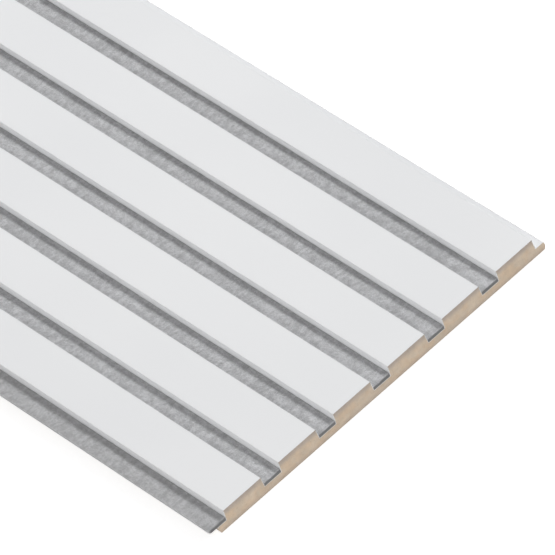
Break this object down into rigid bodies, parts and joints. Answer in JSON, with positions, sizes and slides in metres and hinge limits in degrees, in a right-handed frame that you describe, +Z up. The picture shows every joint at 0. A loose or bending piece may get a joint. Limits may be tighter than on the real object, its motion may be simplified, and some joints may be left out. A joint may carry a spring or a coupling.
{
  "type": "acoustic slat panel",
  "caption": "White slatted wall panel machined from fibreboard, with grey felt strips in its grooves and along its lip, for sound absorption.",
  "frame": {"origin": "on the floor under the middle of the panel, lying on its back", "axes": "+X along the slats, +Y across them from the lip with the overhanging felt to the tongue, +Z up out of the slatted face"},
  "size_m": [2.4, 0.2454, 0.012],
  "materials": {
    "white_board": "satin white lacquer on medium-density fibreboard, raw on the cut ends and the back",
    "grey_felt": "pressed grey fibre felt"
  },
  "bodies": {
    "root": {"slatted_board": "white_board", "felt_strip_edge": "grey_felt", "felt_strip_1": "grey_felt", "felt_strip_2": "grey_felt", "felt_strip_3": "grey_felt", "felt_strip_4": "grey_felt", "felt_strip_5": "grey_felt"}
  },
  "joints": []
}
